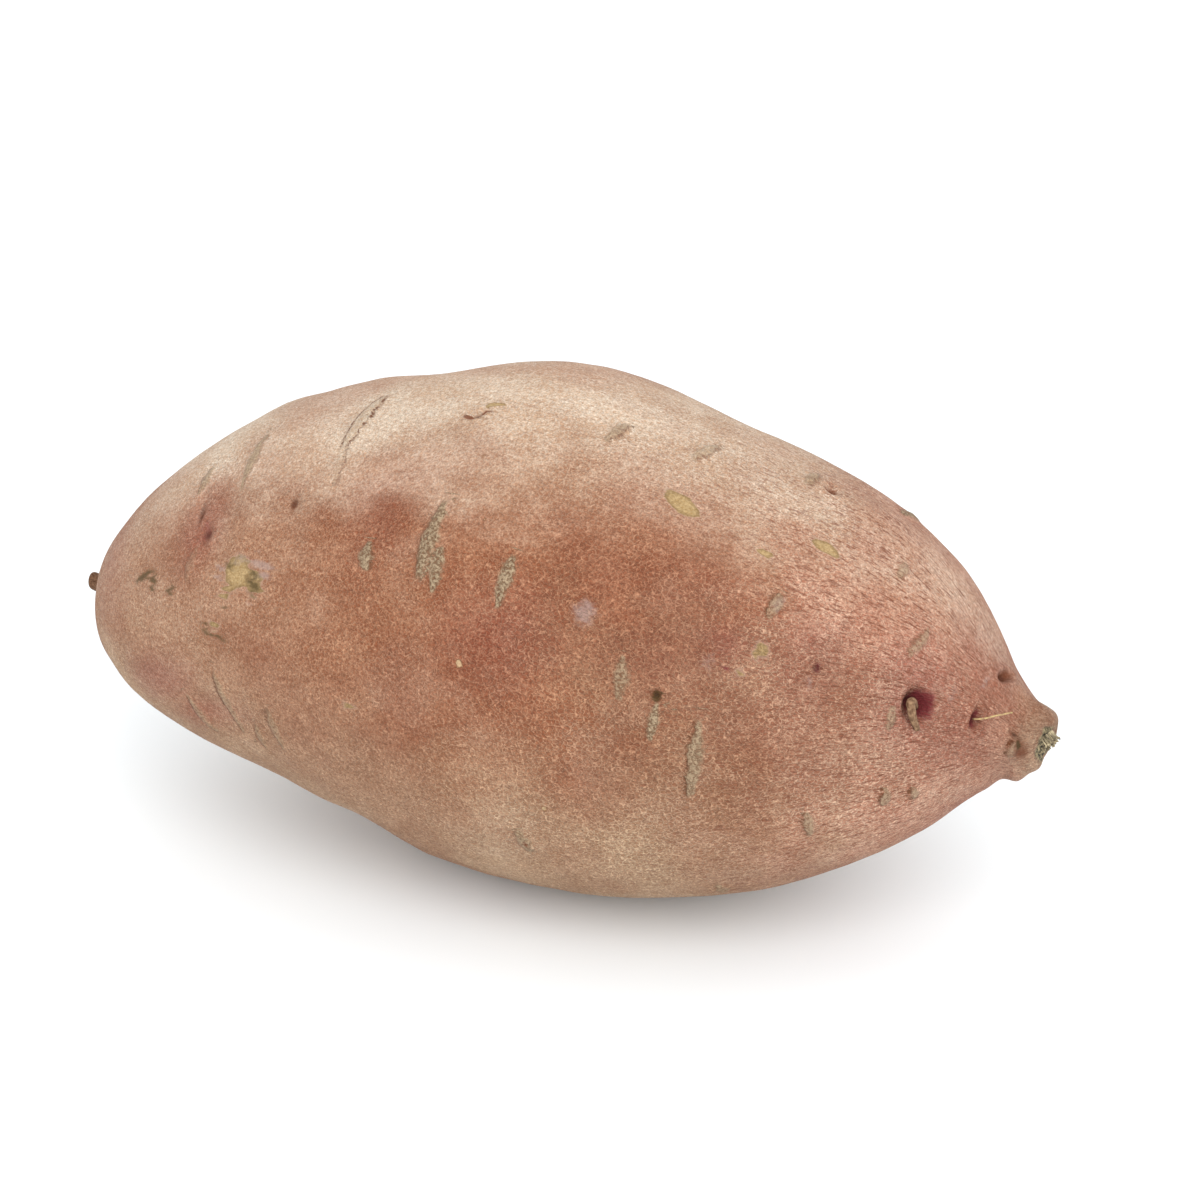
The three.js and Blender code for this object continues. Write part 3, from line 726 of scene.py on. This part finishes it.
    # scars: yellow where the skin is rubbed through, darker at the rim, with a pale halo
    rub = add(tree, "Math", {0: rough["mottle"], 1: 0.45, 2: level["yellow"]}, operation="MULTIPLY_ADD")
    halo = add(tree, "MapRange", {0: rub, 1: 0.34, 2: 0.5, 3: 0, 4: 0.4}, interpolation_type="SMOOTHSTEP")
    rubbed = add(tree, "MapRange", {0: rub, 1: 0.44, 2: 0.52, 3: 0, 4: 0.85})
    rim = add(tree, "MapRange", {0: rub, 1: 0.76, 2: 0.52, 3: 0, 4: 0.6})
    rim = add(tree, "Math", {0: rim, 1: rubbed}, operation="MULTIPLY")
    yellowed = add(tree, "MapRange", {0: rough["scabs"], 1: 0.35, 2: 0.6})
    yellow = add(tree, "Mix", {0: yellowed, 6: look["yellow"], 7: look["yellowPale"]}, 2, data_type="RGBA")

    # ridges: a scabby body, narrowing to its ends, and a dark dotted line of painted shadow beside it
    ridgePlace = add(tree, "Attribute", output="Vector", attribute_name="ridgePlace")
    ridgeLook = add(tree, "Attribute", output="Vector", attribute_name="ridgeLook")
    across, lengthwise, width = add(tree, "SeparateXYZ", {0: ridgePlace}).node.outputs
    corky, shadowSide, paleness = add(tree, "SeparateXYZ", {0: ridgeLook}).node.outputs
    side = add(tree, "Math", {0: rough["ragged"], 1: 1.3, 2: across}, operation="MULTIPLY_ADD")
    side = add(tree, "Math", {0: rough["fine"], 1: 0.9, 2: side}, operation="MULTIPLY_ADD")
    side = add(tree, "Math", {0: side, 1: 1.1}, operation="SUBTRACT")
    toEnd = add(tree, "Math", {0: lengthwise}, operation="ABSOLUTE")
    narrowed = add(tree, "MapRange", {0: toEnd, 1: 0.1, 2: 1, 3: 0.6, 4: 0.2})
    halfWidth = add(tree, "Math", {0: narrowed, 1: width}, operation="MULTIPLY")
    unsigned = add(tree, "Math", {0: side}, operation="ABSOLUTE")
    outside = add(tree, "Math", {0: unsigned, 1: halfWidth}, operation="DIVIDE")
    within = add(tree, "MapRange", {0: toEnd, 1: 1.05, 2: 0.85}, interpolation_type="SMOOTHSTEP")
    body = add(tree, "MapRange", {0: outside, 1: 1.3, 2: 0.5}, interpolation_type="SMOOTHSTEP")
    body = add(tree, "Math", {0: body, 1: within}, operation="MULTIPLY")
    sign = add(tree, "Math", {0: shadowSide}, operation="SIGN")
    signed = add(tree, "Math", {0: side, 1: sign}, operation="MULTIPLY")
    isBoth = add(tree, "Math", {0: shadowSide, 1: 1.5}, operation="GREATER_THAN")
    beside = add(tree, "Mix", {0: isBoth, 2: signed, 3: unsigned})
    off = add(tree, "Math", {0: beside, 1: halfWidth}, operation="SUBTRACT")
    off = add(tree, "Math", {0: off}, operation="ABSOLUTE")
    # painted shadow along the chosen side of the ridge
    ridgeShadow = add(tree, "MapRange", {0: off, 1: 0.42, 2: 0.1}, interpolation_type="SMOOTHSTEP")
    ridgeShadow = add(tree, "Math", {0: ridgeShadow, 1: within}, operation="MULTIPLY")
    darkness = add(tree, "Math", {0: shadowSide}, operation="ABSOLUTE", use_clamp=True)
    ridgeShadow = add(tree, "Math", {0: ridgeShadow, 1: darkness}, operation="MULTIPLY")
    dots = add(tree, "MapRange", {0: rough["fine"], 1: 0.42, 2: 0.58, 3: 0.15, 4: 0.95})
    ridgeShadow = add(tree, "Math", {0: ridgeShadow, 1: dots}, operation="MULTIPLY")
    corkShare = add(tree, "MapRange", {0: corky, 1: 0, 2: 0.7, 3: 0.1, 4: 0.95})
    cork = add(tree, "Math", {0: body, 1: corkShare}, operation="MULTIPLY")
    scabShare = add(tree, "MapRange", {0: rough["scabs"], 1: 0.3, 2: 0.5, 3: 0.55, 4: 1})
    cork = add(tree, "Math", {0: cork, 1: scabShare}, operation="MULTIPLY")
    speckled = add(tree, "MapRange", {0: rough["scabs"], 1: 0.42, 2: 0.6})
    paler = add(tree, "Math", {0: paleness, 1: 0.25, 2: speckled}, operation="MULTIPLY_ADD", use_clamp=True)
    corkColour = add(tree, "Mix", {0: paler, 6: look["corkDark"], 7: look["corkPale"]}, 2, data_type="RGBA")
    corkColour = add(tree, "Mix", {0: 0.25, 6: corkColour, 7: look["cork"]}, 2, data_type="RGBA")

    # sunk eyes and spots, ragged at their edges
    spots = {}
    for name, strength in (("lilac", 0.5), ("rust", 0.85), ("olive", 0.85), ("magenta", 0.9)):
        spot = add(tree, "Math", {0: rough["fine"], 1: 0.6, 2: level[name]}, operation="MULTIPLY_ADD")
        spots[name] = add(tree, "MapRange", {0: spot, 1: 0.5, 2: 1.08, 3: 0, 4: strength},
                          interpolation_type="SMOOTHSTEP")
    # painted shade, darkest at the bottom of each eye's pit
    pitShade = add(tree, "MapRange", {0: level["pit"], 1: 0.6, 2: 1, 3: 0, 4: 0.5},
                 interpolation_type="SMOOTHSTEP")
    breakPale = add(tree, "MapRange", {0: rough["scabs"], 1: 0.4, 2: 0.6})
    breakColour = add(tree, "Mix", {0: breakPale, 6: look["break"], 7: look["breakPale"]}, 2,
                      data_type="RGBA")

    layers = [
        (creaseDashesAndShade, look["creaseDashesAndShade"]), (fleckEdge, look["fleckEdge"]), (fleck, look["fleck"]),
        (halo, look["halo"]), (rubbed, yellow), (rim, look["scarEdge"]), (spots["lilac"], look["lilac"]),
        (cork, corkColour), (ridgeShadow, look["ridgeShadow"]), (spots["rust"], look["rust"]),
        (spots["olive"], look["olive"]), (spots["magenta"], look["magenta"]), (pitShade, look["pitShade"]),
        (level["broken"], breakColour),
    ]
    for amount, tone in layers:
        colour = add(tree, "Mix", {0: amount, 6: colour, 7: tone}, 2, data_type="RGBA")

    # relief: wrinkles, the net and cork stand up, and the painted shadow lines beside the ridges sink
    relief = add(tree, "Math", {0: wrinkles, 1: level["wrinkled"]}, operation="MULTIPLY")
    scabby = add(tree, "Math", {0: rough["scabs"], 1: cork}, operation="MULTIPLY")
    for value, weight in ((netted, 0.8), (rough["fine"], 1), (scabby, 2), (ridgeShadow, -1.5)):
        relief = add(tree, "Math", {0: value, 1: weight, 2: relief}, operation="MULTIPLY_ADD")
    bump = add(tree, "Bump", {"Strength": 0.8, "Distance": look["reliefDepth"] * mm, "Height": relief})
    dull = add(tree, "MapRange", {0: rough["mottle"], 1: 0.3, 2: 0.7, 3: 0.6, 4: 0.78})
    shader = add(tree, "BsdfPrincipled", {"Base Color": colour, "Roughness": dull, "IOR": 1.42,
                                          "Specular IOR Level": 0.3, "Normal": bump})
    add(tree, "OutputMaterial", {"Surface": shader})
    return material


driedLook = {
    "root": "#5a3f2c", "rootPale": "#94765a", "hair": "#bfa873", "fibre": "#c0b08e", "fibreDark": "#554b3e",
    # sizes of the streaks in millimetres
    "rootStreak": 0.6, "hairStreak": 0.4, "fibreStreak": 0.9,
    "reliefDepth": 0.15,
}


def makeDriedMaterial(name, pale, dark, size):
    # dead root or stem fibre, air dried: straw coloured and fibrous, with no gloss
    material = newMaterial(name)
    tree = material.node_tree
    inMetres = add(tree, "TexCoord", output="Object")
    streaks = add(tree, "TexNoise", {"Vector": inMetres, "Scale": 1000 / size, "Detail": 3,
                                     "Roughness": 0.6})
    share = add(tree, "MapRange", {0: streaks, 1: 0.35, 2: 0.65})
    colour = add(tree, "Mix", {0: share, 6: dark, 7: pale}, 2, data_type="RGBA")
    bump = add(tree, "Bump", {"Strength": 0.6, "Distance": driedLook["reliefDepth"] * mm, "Height": streaks})
    shader = add(tree, "BsdfPrincipled", {"Base Color": colour, "Roughness": 0.85,
                                          "Specular IOR Level": 0.25, "Normal": bump})
    add(tree, "OutputMaterial", {"Surface": shader})
    return material


def finish(piece, material):
    piece.data.materials.clear()
    piece.data.materials.append(material)
    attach(piece, "root")


# The camera, at the photograph's angle: turned and raised in degrees, distances in millimetres
view = {"turn": 20, "rise": 25, "lens": 100, "sensor": 36, "distance": 520, "target": (6.7, 0.4, 45)}

studio = {
    "floorWidth": 6.0,
    "floor": "#f1f5f7",
    "ambient": 1.12,
    "backdrop": 1.1,
    "keySize": 1.5,
    "keyFrom": (0.55, -0.95, 0.8),
    "keyPower": 14.0,
}


def makeCamera():
    turn, rise = math.radians(view["turn"]), math.radians(view["rise"])
    back = Vector((math.sin(turn) * math.cos(rise), -math.cos(turn) * math.cos(rise), math.sin(rise)))
    target = Vector(view["target"]) * mm
    lens = bpy.data.cameras.new("camera")
    lens.lens = view["lens"]
    lens.sensor_width = view["sensor"]
    lens.clip_start = 0.01
    camera = bpy.data.objects.new("camera", lens)
    camera.location = target + back * view["distance"] * mm
    camera.rotation_euler = back.to_track_quat("Z", "Y").to_euler()
    bpy.context.scene.collection.objects.link(camera)
    bpy.context.scene.camera = camera


def makeStudio():
    bm = bmesh.new()
    bmesh.ops.create_grid(bm, x_segments=8, y_segments=8, size=studio["floorWidth"] / 2)
    mesh = bpy.data.meshes.new("floor")
    bm.to_mesh(mesh)
    bm.free()
    floor = bpy.data.objects.new("floor", mesh)
    bpy.context.scene.collection.objects.link(floor)
    # matt white paper, with no gloss to show the lights
    paper = newMaterial("matt white paper")
    shader = add(paper.node_tree, "BsdfPrincipled", {"Base Color": studio["floor"], "Roughness": 1,
                                                     "Specular IOR Level": 0})
    add(paper.node_tree, "OutputMaterial", {"Surface": shader})
    mesh.materials.append(paper)

    lamp = bpy.data.lights.new("softbox", "AREA")
    lamp.shape = "DISK"
    lamp.size = studio["keySize"]
    lamp.energy = studio["keyPower"]
    softbox = bpy.data.objects.new("softbox", lamp)
    softbox.location = studio["keyFrom"]
    softbox.rotation_euler = Vector(studio["keyFrom"]).to_track_quat("Z", "Y").to_euler()
    bpy.context.scene.collection.objects.link(softbox)

    world = bpy.data.worlds.new("white room")
    world.use_nodes = True
    tree = world.node_tree
    tree.nodes.clear()
    seen = add(tree, "LightPath", output="Is Camera Ray")
    strength = add(tree, "MapRange", {0: seen, 3: studio["ambient"], 4: studio["backdrop"]})
    room = add(tree, "Background", {"Color": (1, 1, 1, 1), "Strength": strength})
    add(tree, "OutputWorld", {"Surface": room})
    bpy.context.scene.world = world
    bpy.context.scene.view_settings.view_transform = "Standard"


makeCamera()
makeStudio()
print("camera and studio set")

root = makeSkin()
finish(root, makeSkinMaterial())
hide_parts("sweet_potato")

tapered = (dried["rootletThickness"], dried["rootletTaper"])
rootlet = tubeAlong("dried_rootlet", [overSkin(dried["rootlet"])], *tapered)
rootTones = (driedLook["rootPale"], driedLook["root"], driedLook["rootStreak"])
finish(rootlet, makeDriedMaterial("dried rootlet", *rootTones))
hairs = tubeAlong("hair_roots", [overSkin(path) for path in dried["hairs"]], dried["hairThickness"])
hairTones = (driedLook["hair"], driedLook["rootPale"], driedLook["hairStreak"])
finish(hairs, makeDriedMaterial("dried hair root", *hairTones))
fibres = tubeAlong("stem_fibres", stemFibrePaths(), dried["stemFibreThickness"])
fibreTones = (driedLook["fibre"], driedLook["fibreDark"], driedLook["fibreStreak"])
finish(fibres, makeDriedMaterial("dead stem fibre", *fibreTones))
print("dried roots and fibres set")
